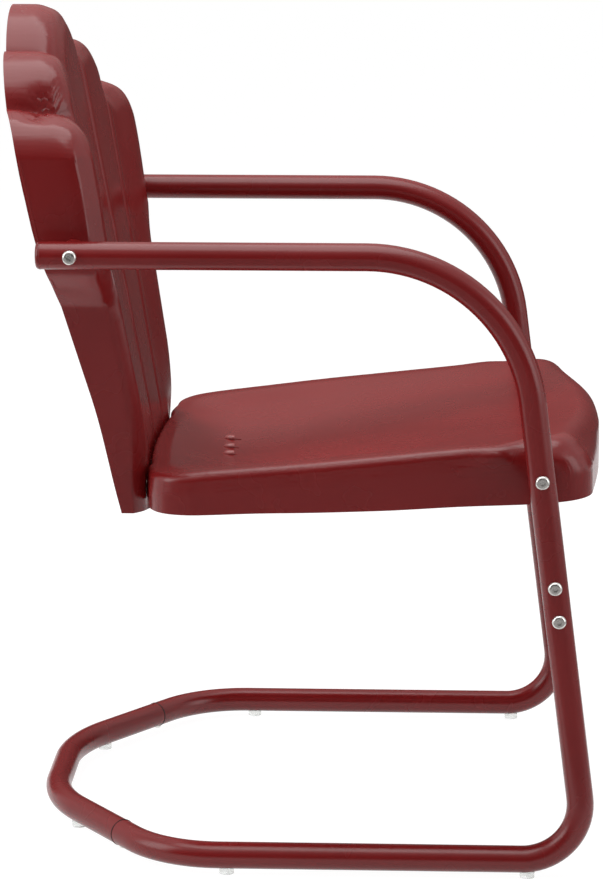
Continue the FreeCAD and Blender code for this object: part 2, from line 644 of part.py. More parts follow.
pan_block = make_pan("seat_block", "0")
pan_hollow = make_pan("seat_hollow", "sheet_thickness")
slots = new_body("drain_slots")
louvres = new_sketch(slots, "XY_Plane", "seat_rim_height - 60")
for centre in ("-37", "0", "37"):
    draw_polygon(louvres, [(centre + " - 2", "69"), (centre + " + 2", "69"), (centre + " + 2", "81"),
                           (centre + " - 2", "81")])
new_feature(slots, "Pad", Profile=louvres, Length=80)
joint_drill = make_drill("joint_drill", "3.2", 20, x="joint_x", y="joint_y", z="joint_z", yaw="joint_yaw",
                         pitch="90 + back_recline")
other_drill = mirror(joint_drill, "other_joint_drill")
seat_drill = make_drill("seat_drill", "hole_radius", 2 * value("seat_half_width"), y="seat_bolt_depth",
                        z="seat_bolt_height", pitch="90")
seat_holes = combine("MultiFuse", "seat_holes", [slots, joint_drill, other_drill, seat_drill])
seat = subtract("seat_pan", subtract("open_pan", pan_block, pan_hollow), seat_holes)


# Pressed back: five petals side by side, once for the outside and once for the inside of the sheet

def surface_depth(x, z):
    """Formula for the depth of the back's large curved face."""
    bow = "back_curve_radius * (1 - sqrt(1 - ((%s) / back_curve_radius) ^ 2))" % x
    return "back_front + recline_run * (%s - back_bottom) - %s" % (z, bow)


def crease(bottom, top, overlap):
    """Formula maker for a petal's side line, which leans outward as it climbs."""
    def at(z):
        slope = "(%s - (%s)) * (%s - back_bottom) / (crease_top_height - back_bottom)" % (top, bottom, z)
        return "%s + %s + (%s)" % (bottom, slope, overlap)
    return at


def make_petal(name, left, right, middle_line, crown, inset):
    """One pressed petal; inset is the sheet thickness for the inner side of the sheet."""
    body = new_body(name)
    sections = []
    for z in ("back_bottom - %s * 4" % inset, "crease_top_height + 90"):
        section = new_sketch(body, "XY_Plane", z)
        ends = ("%s + %s" % (left(z), inset), "%s - %s" % (right(z), inset))
        centre_line = middle_line(z)
        crowned = "outer_petal_radius" if name.startswith("outer") else "petal_radius"
        radius = "%s - %s" % (crowned, inset)
        swing = "asin((%s) / back_curve_radius)" % centre_line
        cx = "%s + %s * sin(%s)" % (centre_line, crowned, swing)
        cy = "%s + %s * cos(%s)" % (surface_depth(centre_line, z), crowned, swing)
        middle_x, middle_y, bow = value(cx), value(cy), value(radius)
        xs = [value(end) for end in ends]
        ys = [middle_y - math.sqrt(bow ** 2 - (x - middle_x) ** 2) for x in xs]
        back = "back_front + 420"
        section.addGeometry(Part.ArcOfCircle(
            Part.Circle(Vector(middle_x, middle_y, 0), Vector(0, 0, 1), bow),
            math.atan2(ys[0] - middle_y, xs[0] - middle_x), math.atan2(ys[1] - middle_y, xs[1] - middle_x)))
        path = [Vector(xs[1], ys[1], 0), Vector(xs[1], value(back), 0), Vector(xs[0], value(back), 0),
                Vector(xs[0], ys[0], 0)]
        for begin, finish in zip(path, path[1:]):
            section.addGeometry(Part.LineSegment(begin, finish))
        for index in range(4):
            section.addConstraint(Sketcher.Constraint("Coincident", index, 2, (index + 1) % 4, 1))
        pin(section, 0, 3, cx, cy)
        fix_radius(section, 0, radius)
        pin(section, 0, 1, ends[0], "")
        pin(section, 0, 2, ends[1], "")
        pin(section, 1, 2, ends[1], back)
        pin(section, 2, 2, ends[0], back)
        sections.append(section)
    loft = new_feature(body, "AdditiveLoft", Profile=sections[0], Sections=[sections[1]], Ruled=True)
    doc.recompute()
    if name.startswith("outer"):
        add_waist(body, inset)
    crown_x, crown_z, crown_radius = crown
    top = new_sketch(body, "XZ_Plane")
    reach = value("%s - %s" % (crown_radius, inset))
    centre = Vector(value(crown_x), value(crown_z), 0)
    wide, high = 260, value(crown_z) + 400
    top.addGeometry(Part.ArcOfCircle(Part.Circle(centre, Vector(0, 0, 1), reach), 0, math.pi))
    path = [Vector(-reach, 0, 0), Vector(-wide, 0, 0), Vector(-wide, high - centre.y, 0),
            Vector(wide, high - centre.y, 0), Vector(wide, 0, 0), Vector(reach, 0, 0)]
    path = [centre + point for point in path]
    for begin, finish in zip(path, path[1:]):
        top.addGeometry(Part.LineSegment(begin, finish))
    for index in range(6):
        top.addConstraint(Sketcher.Constraint("Coincident", index, 2, (index + 1) % 6, 1))
    pin(top, 0, 3, crown_x, crown_z)
    fix_radius(top, 0, "%s - %s" % (crown_radius, inset))
    pin(top, 1, 1, "", crown_z)
    pin(top, 5, 2, "", crown_z)
    pin(top, 2, 1, "%s - 260" % crown_x, crown_z)
    pin(top, 3, 1, "%s - 260" % crown_x, "%s + 400" % crown_z)
    pin(top, 4, 1, "%s + 260" % crown_x, "%s + 400" % crown_z)
    pin(top, 5, 1, "%s + 260" % crown_x, crown_z)
    cut = new_feature(body, "Pocket", Profile=top, Type="ThroughAll", Midplane=True)
    doc.recompute()
    last = cut
    if name.startswith("outer"):
        last = round_edges(body, cut, runs_deep, "petal_edge_radius + 7")
    front = [face for face in last.Shape.Faces if face.normalAt(*face.Surface.parameter(face.CenterOfMass)).y < -0.7]
    floor = min(vertex.Z for vertex in last.Shape.Vertexes) + 0.5
    round_edges(body, last,
                lambda edge: any(edge.isSame(item) for face in front for item in face.Edges)
                and middle(edge).z > floor, "petal_edge_radius - %s" % inset)
    return body


def runs_deep(edge):
    """Corners of the waist, whose edges run from front to rear."""
    heights = (value("back_waist_height"), value("back_arm_height"))
    level = min(abs(vertex.Z - height) for vertex in edge.Vertexes for height in heights)
    return level < 0.1 and abs(edge.tangentAt(edge.FirstParameter).y) > 0.99


def add_waist(body, inset):
    """Trim the outer petal's side below the arm flange."""
    sketch = new_sketch(body, "XZ_Plane")
    low = "back_bottom - 40"
    slope = "(back_waist_half - back_bottom_half) / (back_waist_height - back_bottom)"
    draw_polygon(sketch, [("back_bottom_half - 40 * %s - %s" % (slope, inset), low),
                          ("back_waist_half - " + inset, "back_waist_height"),
                          ("back_arm_half - " + inset, "back_arm_height"),
                          ("back_arm_half + 30", "back_arm_height"), ("back_arm_half + 30", low)])
    new_feature(body, "Pocket", Profile=sketch, Type="ThroughAll", Midplane=True)
    doc.recompute()


def between(first, second):
    """Formula maker for the line halfway between two side lines."""
    return lambda z: "((%s) + (%s)) / 2" % (first(z), second(z))


INNER = ("inner_crease", "inner_crease_top")
OUTER = ("outer_crease", "outer_crease_top")
SIDE = ("back_bottom_half", "back_arm_half")
PETALS = {
    "centre": (crease("-" + INNER[0], "-" + INNER[1], "-crease_overlap"), crease(*INNER, "crease_overlap"),
               lambda z: "0", ("0", "arm_height + centre_crown_rise", "centre_crown_radius")),
    "inner": (crease(*INNER, "-crease_overlap"), crease(*OUTER, "crease_overlap"),
              between(crease(*INNER, "0"), crease(*OUTER, "0")),
              ("96", "arm_height + inner_crown_rise", "inner_crown_radius")),
    "outer": (crease(*OUTER, "-crease_overlap"), lambda z: "back_arm_half",
              between(crease(*OUTER, "0"), crease(*SIDE, "0")),
              ("182", "arm_height + outer_crown_rise", "outer_crown_radius")),
}


def press(inset):
    """Five petals fused side by side."""
    side = "outside" if inset == "0" else "inside"
    shapes = []
    for name, lines in PETALS.items():
        petal = make_petal("%s_petal_%s" % (name, side), *lines, inset)
        shapes.append(petal)
        if name != "centre":
            shapes.append(mirror(petal, "%s_petal_%s_right" % (name, side)))
    return combine("MultiFuse", "pressing_" + side, shapes)


pressing = press("0")
cavity = press("sheet_thickness")

# The shell ends along a rear rim that bows with the back
rim_body = new_body("rear_rim_cut")
place(rim_body, y="back_front - back_curve_radius")
rim_sketch = new_sketch(rim_body, "YZ_Plane")
rim_names = (("rim_foot", "back_bottom - 36"), ("rim_waist", "back_waist_height"), ("rim_arm", "back_arm_height"),
             ("rim_top", "crease_top_height + 51"), ("back_curve_radius", "crease_top_height + 51"),
             ("back_curve_radius", "back_bottom - 36"))
RIM = [("back_curve_radius + " + depth, height) for depth, height in rim_names]
start, end = [Vector(value(depth), value(height), 0) for depth, height in (RIM[2], RIM[3])]
bow_centre = (start + end) / 2
half_chord = (end - start).Length / 2
toward = Vector(start.y - end.y, end.x - start.x, 0).normalize()
bow_centre += toward * math.sqrt(value("rim_radius") ** 2 - half_chord ** 2)
turns = [math.atan2(point.y - bow_centre.y, point.x - bow_centre.x) for point in (start, end)]
for index, (first, second) in enumerate(zip(RIM, RIM[1:] + RIM[:1])):
    ends = [Vector(value(depth), value(height), 0) for depth, height in (first, second)]
    line = Part.LineSegment(*ends)
    if index == 2:
        line = Part.ArcOfCircle(Part.Circle(bow_centre, Vector(0, 0, 1), value("rim_radius")), *turns)
    rim_sketch.addGeometry(line)
for index, (depth, height) in enumerate(RIM):
    rim_sketch.addConstraint(Sketcher.Constraint("Coincident", (index - 1) % len(RIM), 2, index, 1))
    pin(rim_sketch, index, 1, depth, height)
fix_radius(rim_sketch, 2, "rim_radius")
new_feature(rim_body, "Revolution", Profile=rim_sketch, ReferenceAxis=(rim_sketch, ["V_Axis"]), Angle=60,
            Midplane=True)
doc.recompute()
open_pressing = subtract("open_pressing", pressing, rim_body)
shell = subtract("petal_shell", open_pressing, cavity)
arm_drill = make_drill("arm_drill", "hole_radius", 12, x="back_arm_half", y="back_bolt_depth", z="arm_height",
                       pitch="90")
back_drills = [arm_drill, mirror(arm_drill, "other_arm_drill"), joint_drill, other_drill]
back = subtract("back_shell", shell, combine("MultiFuse", "back_holes", back_drills))
doc.recompute()
keep(seat)
keep(back)

# Nothing may be left in error, and every piece is a valid solid
doc.removeObject("scratch")
doc.recompute()
for item in doc.Objects:
    if "Invalid" in item.State or "Error" in item.State:
        print("STATE", item.Name, item.State)
os.makedirs("parts", exist_ok=True)
total = 0
for piece in nodes:
    shape = piece.Shape
    good = not shape.isNull() and shape.isValid() and shape.Volume > 0
    box = shape.BoundBox
    print("%-22s solids %d valid %s volume %.1f box %.1f %.1f %.1f to %.1f %.1f %.1f" % (
        piece.Label, len(shape.Solids), good, shape.Volume, box.XMin, box.YMin, box.ZMin, box.XMax, box.YMax,
        box.ZMax))
    shape.exportStep("parts/%s.step" % piece.Label)
print(len(nodes), "pieces")
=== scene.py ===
# %% [markdown]
# # A spring lawn chair
#
# The chair is bent from steel tube, and carries a pressed seat and a pressed back of five petals. Every
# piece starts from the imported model, so it already stands in its right place, in metres.

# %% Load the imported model
import math

import bpy
import numpy as np
from mathutils import Matrix, Vector


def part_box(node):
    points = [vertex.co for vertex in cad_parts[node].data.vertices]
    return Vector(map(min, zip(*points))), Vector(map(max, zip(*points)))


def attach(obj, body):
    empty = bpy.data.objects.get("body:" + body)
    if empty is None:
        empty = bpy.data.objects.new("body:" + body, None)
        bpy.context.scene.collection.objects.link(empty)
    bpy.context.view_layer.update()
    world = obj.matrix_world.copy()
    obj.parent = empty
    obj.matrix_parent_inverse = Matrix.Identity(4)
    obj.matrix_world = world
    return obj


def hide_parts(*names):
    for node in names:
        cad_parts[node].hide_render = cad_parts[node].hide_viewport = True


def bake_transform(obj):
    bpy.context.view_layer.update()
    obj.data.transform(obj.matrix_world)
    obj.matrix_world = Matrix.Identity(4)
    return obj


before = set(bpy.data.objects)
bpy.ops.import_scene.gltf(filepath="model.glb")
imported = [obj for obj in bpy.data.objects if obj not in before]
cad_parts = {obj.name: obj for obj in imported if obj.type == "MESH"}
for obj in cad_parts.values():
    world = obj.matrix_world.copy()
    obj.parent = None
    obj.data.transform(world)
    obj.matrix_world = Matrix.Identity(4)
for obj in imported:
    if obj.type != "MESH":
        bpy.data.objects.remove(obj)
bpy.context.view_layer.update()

# %% [markdown]
# ## The camera
#
# The photograph looks at the chair's right side from about three metres away and a little from above. The
# camera stands there, and its lens gives the photograph's own perspective. The focal length and the
# height of the picture are in pixels of the photograph, and their ratio times the sensor gives the lens
# in millimetres.

# %% Set the camera
YAW, PITCH = math.radians(-2.235), math.radians(-12.312)
CAMERA_PLACE = (-3.030767, -0.115603, 1.051955)
FOCAL_LENGTH, PICTURE_HEIGHT = 2913.744, 879.0
SENSOR = 36.0

look = Vector((math.cos(YAW) * math.cos(PITCH), -math.sin(YAW) * math.cos(PITCH), math.sin(PITCH)))
right = Vector((-math.sin(YAW), -math.cos(YAW), 0.0))
up = right.cross(look)
camera_data = bpy.data.cameras.new("studio_camera")
camera_data.sensor_width = SENSOR
camera_data.lens = FOCAL_LENGTH * SENSOR / PICTURE_HEIGHT
camera_data.clip_end = 50.0
camera = bpy.data.objects.new("studio_camera", camera_data)
bpy.context.scene.collection.objects.link(camera)
turn = Matrix((right, up, -look)).transposed().to_4x4()
camera.matrix_world = Matrix.Translation(CAMERA_PLACE) @ turn
bpy.context.scene.camera = camera
print("camera at", tuple(round(value, 3) for value in camera.location))

# %% [markdown]
# ## Floor, world and lamps
#
# The studio is a white sweep. The floor and the world show white to the camera, in a mirror and through
# clear plastic, while what lights the chair is dimmer and even. The floor's glow lets a little of the
# shadow through.

# %% Make the floor
FLOOR_GREY, FLOOR_GLOW, GLOW_SHARE = 0.86, 1.14, 0.85


def seen_by_lens(nodes, links, rays):
    """Socket that gives one where the camera sees a surface, also in a mirror or through plastic."""
    seen = rays.outputs["Is Camera Ray"]
    for word in ("Is Glossy Ray", "Is Transmission Ray"):
        most = nodes.new("ShaderNodeMath")
        most.operation = "MAXIMUM"
        links.new(seen, most.inputs[0])
        links.new(rays.outputs[word], most.inputs[1])
        seen = most.outputs[0]
    return seen


def make_floor():
    """White ground whose shadowed parts darken a little."""
    bpy.ops.object.select_all(action="DESELECT")
    bpy.ops.mesh.primitive_plane_add(size=40.0, location=(0.0, 0.0, 0.0))
    floor = bpy.context.object
    floor.name = "floor"
    material = bpy.data.materials.new("white_sweep")
    material.use_nodes = True
    nodes, links = material.node_tree.nodes, material.node_tree.links
    nodes.clear()
    output = nodes.new("ShaderNodeOutputMaterial")
    diffuse = nodes.new("ShaderNodeBsdfDiffuse")
    diffuse.inputs["Color"].default_value = (FLOOR_GREY, FLOOR_GREY, FLOOR_GREY, 1.0)
    glow = nodes.new("ShaderNodeEmission")
    glow.inputs["Strength"].default_value = FLOOR_GLOW
    rays = nodes.new("ShaderNodeLightPath")
    share = nodes.new("ShaderNodeMath")
    share.operation = "MULTIPLY"
    share.inputs[1].default_value = GLOW_SHARE
    mix = nodes.new("ShaderNodeMixShader")
    links.new(seen_by_lens(nodes, links, rays), share.inputs[0])
    links.new(share.outputs[0], mix.inputs[0])
    links.new(diffuse.outputs[0], mix.inputs[1])
    links.new(glow.outputs[0], mix.inputs[2])
    links.new(mix.outputs[0], output.inputs["Surface"])
    floor.data.materials.append(material)
    return floor


floor = make_floor()
print("floor of", floor.dimensions.x, "m")

# %% Light the world
WORLD_STRENGTH = 0.30


def light_world(strength):
    """Even light all round, while the camera sees plain white."""
    world = bpy.data.worlds.new("studio_world")
    bpy.context.scene.world = world
    world.use_nodes = True
    nodes, links = world.node_tree.nodes, world.node_tree.links
    nodes.clear()
    output = nodes.new("ShaderNodeOutputWorld")
    even = nodes.new("ShaderNodeBackground")
    even.inputs["Strength"].default_value = strength
    white = nodes.new("ShaderNodeBackground")
    white.inputs["Color"].default_value = (1.0, 1.0, 1.0, 1.0)
    white.inputs["Strength"].default_value = 1.0
    rays = nodes.new("ShaderNodeLightPath")
    mix = nodes.new("ShaderNodeMixShader")
    links.new(seen_by_lens(nodes, links, rays), mix.inputs[0])
    links.new(even.outputs[0], mix.inputs[1])
    links.new(white.outputs[0], mix.inputs[2])
    links.new(mix.outputs[0], output.inputs["Surface"])


light_world(WORLD_STRENGTH)
print("world lit evenly")

# %% [markdown]
# A studio also sets dark cards round the object, out of the picture. Here one stands on the far side, one
# stands behind the camera, and two lie on the floor beside and in front of the chair. They show in
# reflections only, and keep the white room out of the paint, so that it stays deep red where it is seen
# at a flat angle. The two that stand are dark below and grow paler upwards, and each fade says from where
# to where it goes and how bright it is.

# %% Set out the dark cards
STANDING, LYING = (0.0, math.radians(90.0), 0.0), (0.0, 0.0, 0.0)
EVEN = (0.14, -0.15, 1.0, 1.0)
CARDS = (
    ("far_card", (2.6, 8.0), (2.4, -1.0, 1.3), STANDING, (0.19, 0.17, 0.165), (0.14, -0.15, 0.6, 3.2)),
    ("near_card", (4.6, 9.0), (-3.6, -0.2, 2.1), STANDING, (0.50, 0.46, 0.46), (0.16, -0.50, 0.1, 1.6)),
    ("low_card", (2.6, 7.0), (-1.75, -0.2, 0.006), LYING, (0.40, 0.38, 0.38), EVEN),
    ("fore_card", (3.6, 3.6), (-0.4, -2.6, 0.004), LYING, (0.42, 0.40, 0.40), EVEN),
)


def make_card(name, size, place, turn, shade, fade_over):
    """Card that shows in reflections only."""
    bpy.ops.object.select_all(action="DESELECT")
    bpy.ops.mesh.primitive_plane_add(size=1.0, location=place, rotation=turn)
    card = bpy.context.object
    card.name = name
    card.scale = (*size, 1.0)
    material = bpy.data.materials.new(name + "_cloth")
    material.use_nodes = True
    nodes, links = material.node_tree.nodes, material.node_tree.links
    nodes.clear()
    output = nodes.new("ShaderNodeOutputMaterial")
    glow = nodes.new("ShaderNodeEmission")
    glow.inputs["Color"].default_value = (*shade, 1.0)
    place_on_card = nodes.new("ShaderNodeTexCoord")
    split = nodes.new("ShaderNodeSeparateXYZ")
    fade = nodes.new("ShaderNodeMapRange")
    from_and_to = fade.inputs[1:5]
    for socket, value in zip(from_and_to, fade_over):
        socket.default_value = value
    links.new(place_on_card.outputs["Object"], split.inputs[0])
    links.new(split.outputs[0], fade.inputs[0])
    links.new(fade.outputs[0], glow.inputs["Strength"])
    links.new(glow.outputs[0], output.inputs["Surface"])
    card.data.materials.append(material)
    card.visible_camera = card.visible_diffuse = card.visible_shadow = card.visible_transmission = False
    return card


for card_facts in CARDS:
    print("card", make_card(*card_facts).name)

# %% [markdown]
# Soft boxes do the lighting. A wide one overhead and one each before and behind the chair draw long calm
# reflections along the tubes. A small one on the far side throws the soft shadow of the arm on the seat.
# It would leave a glare on the seat's dish, so it is hidden from reflections.

# %% Hang the lamps
LAMP_AIM = (0.0, 0.0, 0.45)
LAMPS = (
    ("top_box", (-0.2, 0.1, 2.6), (2.0, 2.2), 40.0),
    ("far_box", (1.7, 0.9, 2.1), (0.5, 0.5), 46.0),
    ("front_box", (-1.2, -2.6, 1.3), (1.4, 2.0), 16.0),
    ("rear_box", (-1.0, 2.4, 1.5), (1.4, 2.0), 26.0),
)


def add_lamp(name, place, aim, size, power):
    """Soft box that faces a point."""
    data = bpy.data.lights.new(name, "AREA")
    data.shape = "RECTANGLE"
    data.size, data.size_y = size
    data.energy = power
    lamp = bpy.data.objects.new(name, data)
    bpy.context.scene.collection.objects.link(lamp)
    lamp.location = place
    lamp.rotation_euler = (Vector(aim) - Vector(place)).to_track_quat("-Z", "Y").to_euler()
    return lamp


for name, place, size, power in LAMPS:
    lamp = add_lamp(name, place, LAMP_AIM, size, power)
    lamp.visible_glossy = name != "far_box"
bpy.context.scene.view_settings.view_transform = "Standard"

# %% [markdown]
# ## Powder coat
#
# The frame, seat and back share one burgundy powder coat. It is baked on, so it flows out to a satin
# gloss with a fine orange peel. A noise texture far smaller than the tube gives the peel and a coarser
# one a faint wave. Slow ones let colour and gloss drift a little, as on any sprayed and baked surface.

# %% Helpers for materials
NOISE_LOW, NOISE_HIGH = 0.3, 0.7


def new_material(name):
    """Material with a Principled shader, returned with its node tree."""
    material = bpy.data.materials.new(name)
    material.use_nodes = True
    tree = material.node_tree
    return material, tree, tree.nodes["Principled BSDF"]


def add_noise(tree, size, detail):
    """Noise on the piece's own coordinates, whose grains are about a size in metres."""
    place = tree.nodes.new("ShaderNodeTexCoord")
    noise = tree.nodes.new("ShaderNodeTexNoise")
    noise.inputs["Scale"].default_value = 1.0 / size
    noise.inputs["Detail"].default_value = detail
    tree.links.new(place.outputs["Object"], noise.inputs["Vector"])
    return noise.outputs["Fac"]


def vary(tree, factor, low, high, socket):
    """Let a number wander between two values."""
    spread = tree.nodes.new("ShaderNodeMapRange")
    spread.inputs["From Min"].default_value = NOISE_LOW
    spread.inputs["From Max"].default_value = NOISE_HIGH
    spread.inputs["To Min"].default_value = low
    spread.inputs["To Max"].default_value = high
    tree.links.new(factor, spread.inputs["Value"])
    tree.links.new(spread.outputs["Result"], socket)


def tint(tree, factor, colours, socket):
    """Let a colour wander between two."""
    ramp = tree.nodes.new("ShaderNodeValToRGB")
    for element, colour, position in zip(ramp.color_ramp.elements, colours, (NOISE_LOW, NOISE_HIGH)):
        element.color = (*colour, 1.0)
        element.position = position
    tree.links.new(factor, ramp.inputs["Fac"])
    tree.links.new(ramp.outputs["Color"], socket)


def roughen(tree, factors, shader):
    """Bump the surface by several heights, each with a strength and a depth in metres."""
    normal = None
    for factor, strength, depth in factors:
        bump = tree.nodes.new("ShaderNodeBump")
        bump.inputs["Strength"].default_value = strength
        bump.inputs["Distance"].default_value = depth
        tree.links.new(factor, bump.inputs["Height"])
        if normal:
            tree.links.new(normal, bump.inputs["Normal"])
        normal = bump.outputs["Normal"]
    tree.links.new(normal, shader.inputs["Normal"])


print("material helpers ready")

# %% Make the paint
PAINT_ROUGH = 0.26
DRIFT_SIZE, GLOSS_SIZE, WAVE_SIZE, PEEL_SIZE = 0.14, 0.05, 0.022, 0.0022


def make_paint(name, light, deep, rough):
    """Satin powder coat that wanders between two colours."""
    material, tree, shader = new_material(name)
    tint(tree, add_noise(tree, DRIFT_SIZE, 3.0), (deep, light), shader.inputs["Base Color"])
    vary(tree, add_noise(tree, GLOSS_SIZE, 2.0), rough - 0.02, rough + 0.03, shader.inputs["Roughness"])
    wave = add_noise(tree, WAVE_SIZE, 2.0)
    peel = add_noise(tree, PEEL_SIZE, 2.0)
    roughen(tree, [(wave, 0.05, 0.0012), (peel, 0.04, 0.0004)], shader)
    shader.inputs["Specular IOR Level"].default_value = 0.42
    return material


paint = make_paint("burgundy_powder_coat", (0.195, 0.0090, 0.0095), (0.172, 0.0075, 0.0080), PAINT_ROUGH)
print("paint", paint.name, "roughness", PAINT_ROUGH)

# %% [markdown]
# ## Zinc, bare steel and plastics
#
# The bolts are bright zinc: a metal with a soft grain. The sleeves inside the joints are plain steel. The
# arm ends are closed by moulded caps, a shade glossier than the paint, and the glides under the rails are
# clear.

# %% Make the metals
def make_metal(name, bright, dull, rough, grain):
    """Plated or bare metal with a fine grain."""
    material, tree, shader = new_material(name)
    shader.inputs["Metallic"].default_value = 1.0
    cloud = add_noise(tree, grain, 4.0)
    tint(tree, cloud, (dull, bright), shader.inputs["Base Color"])
    vary(tree, cloud, rough - 0.06, rough + 0.08, shader.inputs["Roughness"])
    roughen(tree, [(add_noise(tree, grain * 0.3, 3.0), 0.08, 0.0002)], shader)
    return material


zinc = make_metal("bright_zinc", (0.80, 0.79, 0.75), (0.62, 0.62, 0.60), 0.26, 0.004)
steel = make_metal("bare_tube_steel", (0.48, 0.48, 0.49), (0.34, 0.34, 0.35), 0.42, 0.010)
print("metals", zinc.name, steel.name)

# %% Make the plastics
def make_clear(name):
    """Clear moulded plastic, slightly milky."""
    material, tree, shader = new_material(name)
    shader.inputs["Base Color"].default_value = (0.90, 0.92, 0.90, 1.0)
    shader.inputs["Transmission Weight"].default_value = 0.82
    shader.inputs["IOR"].default_value = 1.46
    vary(tree, add_noise(tree, 0.006, 3.0), 0.10, 0.24, shader.inputs["Roughness"])
    roughen(tree, [(add_noise(tree, 0.003, 2.0), 0.10, 0.0002)], shader)
    return material


cap_plastic = make_paint("burgundy_cap_plastic", (0.170, 0.0090, 0.0095), (0.150, 0.0080, 0.0085), 0.17)
clear = make_clear("clear_glide_plastic")
print("plastics", cap_plastic.name, clear.name)

# %% [markdown]
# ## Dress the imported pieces
#
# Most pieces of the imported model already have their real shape, so they only need their finish. The name
# of a piece says what it is made of.

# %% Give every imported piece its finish
FINISHES = (("glide", clear), ("bolt", zinc), ("washer", zinc), ("nut", zinc), ("screw", zinc),
            ("sleeve", steel), ("end_cap", cap_plastic))


def finish_of(name):
    """Finish that a piece's name asks for."""
    return next((material for word, material in FINISHES if word in name), paint)


def dress(piece, material):
    """Give a piece one finish all over."""
    piece.data.materials.clear()
    piece.data.materials.append(material)


for name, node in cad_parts.items():
    dress(node, finish_of(name))
print("dressed", len(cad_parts), "packed pieces")

# %% [markdown]
# ## Working copies
#
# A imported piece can't be bent or cut, so a piece that needs more is copied. Its triangles are loose, so
# the copy's doubles are merged first. Cutting planes then add the rows of points that a bend needs.

# %% Helpers for working copies
MERGE_WITHIN = 0.00002
ALONG_X, ALONG_Y, ALONG_Z = (1.0, 0.0, 0.0), (0.0, 1.0, 0.0), (0.0, 0.0, 1.0)


def alone(piece):
    """Select one piece and nothing else."""
    bpy.ops.object.select_all(action="DESELECT")
    piece.select_set(True)
    bpy.context.view_layer.objects.active = piece


def merged_copy(node_name, name):
    """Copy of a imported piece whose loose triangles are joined."""
    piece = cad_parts[node_name].copy()
    piece.data = piece.data.copy()
    piece.name = piece.data.name = name
    for key in [key for key in piece.keys() if key.startswith("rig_")]:
        del piece[key]
    piece.parent = None
    bpy.context.scene.collection.objects.link(piece)
    alone(piece)
    bpy.ops.object.mode_set(mode="EDIT")
    bpy.ops.mesh.select_all(action="SELECT")
    bpy.ops.mesh.remove_doubles(threshold=MERGE_WITHIN)
    bpy.ops.mesh.customdata_custom_splitnormals_clear()
    bpy.ops.object.mode_set(mode="OBJECT")
    return piece


def slice_across(piece, normal, places):
    """Cut rows of points into a piece where planes cross it."""
    alone(piece)
    bpy.ops.object.mode_set(mode="EDIT")
    for place in places:
        bpy.ops.mesh.select_all(action="SELECT")
        bpy.ops.mesh.bisect(plane_co=[part * place for part in normal], plane_no=normal)
    bpy.ops.object.mode_set(mode="OBJECT")


def rows(low, high, count):
    """Evenly spaced places, both ends included."""
    return [low + (high - low) * step / (count - 1) for step in range(count)]


def smooth(piece, degrees=32.0):
    """Shade a piece smooth, with edges sharp past an angle."""
    alone(piece)
    bpy.ops.object.shade_smooth_by_angle(angle=math.radians(degrees))


print("copy helpers ready")

# %% [markdown]
# ## Sprung leg tubes
#
# When someone sits down the whole upper part rocks, and the foot bends and uprights flex. The two leg
# tubes are the spring, which bends between the base and the upper part, and the upper end of each stays on
# the arm tube's end. Each copy here gets rows of points along its height, as such a bend would need.


def make_leg_tube(side):
    """Leg tube with rows of points along its height, as a bend would need."""
    piece = merged_copy(side + "_leg_tube", side + "_sprung_leg_tube")
    low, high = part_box(side + "_leg_tube")
    slice_across(piece, ALONG_Z, rows(low.z + 0.03, high.z - 0.004, 24))
    smooth(piece)
    dress(piece, paint)
    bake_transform(piece)
    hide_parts(side + "_leg_tube")
    return piece


for side in ("left", "right"):
    leg_tube = make_leg_tube(side)
    print(leg_tube.name, len(leg_tube.data.vertices), "points")

# %% [markdown]
# ## The pressed back
#
# A press draws the sheet of the back, so its outer edge isn't a tight bend but a wide soft roll that
# grows towards the crowns. The outline of the five petals in front view is laid down first, from the same
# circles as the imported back, because the roll is measured from it. A petal's circle has its distance from
# the centre plane, its height and its radius.

# %% Lay down the outline
FACE_FRONT, FACE_FOOT, FACE_LEAN, FACE_BOW = 0.153, 0.346, math.tan(math.radians(11.0)), 1.150
CREASE_RISE, CREASE_COVER = 0.454, 0.008
INNER_CREASE, OUTER_CREASE = (0.0286, 0.069), (0.0896, 0.156)
LOBE_STEPS = 60
LOBES = ((0.0, 0.7647, 0.0843), (0.096, 0.7455, 0.0625), (0.182, 0.7070, 0.0530))
SIDE = ((0.135, 0.223), (0.1965, 0.552), (0.1995, 0.566), (0.207, 0.577), (0.226, 0.596), (0.2325, 0.606),
        (0.2345, 0.620), (0.2350, 0.707))


def face_depth(x, z):
    """Depth of the back's large curved face."""
    return FACE_FRONT + FACE_LEAN * (z - FACE_FOOT) - FACE_BOW + np.sqrt(FACE_BOW ** 2 - x ** 2)


def crease_at(bottom, top, z):
    """Distance of a crease from the centre plane."""
    return bottom + (top - bottom) * (z - FACE_FOOT) / CREASE_RISE


def covered(x, z, skip):
    """Tell if a point of one crown lies inside another petal."""
    for index, (across, height, reach) in enumerate(LOBES):
        if index == skip:
            continue
        if z > height and math.hypot(x - across, z - height) < reach:
            return True
        if z <= height and index == 1 and x < crease_at(*OUTER_CREASE, z) + CREASE_COVER:
            return True
        if z <= height and index == 0 and x < crease_at(*INNER_CREASE, z) + CREASE_COVER:
            return True
    return False


def as_outline(points):
    """Starts, steps and lengths of a line that has the sheet on its left."""
    points = np.array(points)
    steps = np.diff(points, axis=0)
    length = np.hypot(*steps.T)
    keep = length > 1e-6
    return points[:-1][keep], steps[keep], length[keep]


def lay_crowns():
    """Front view outline from the left foot over the crowns to the right foot."""
    half = list(SIDE)
    for index, (across, height, reach) in reversed(list(enumerate(LOBES))):
        for step in range(LOBE_STEPS + 1):
            turn = math.pi * step / LOBE_STEPS if index else math.pi / 2 * step / LOBE_STEPS
            x, z = across + reach * math.cos(turn), height + reach * math.sin(turn)
            if x >= 0.0 and not covered(x, z, index):
                half.append((x, z))
    return half + [(-x, z) for x, z in reversed(half[:-1])]


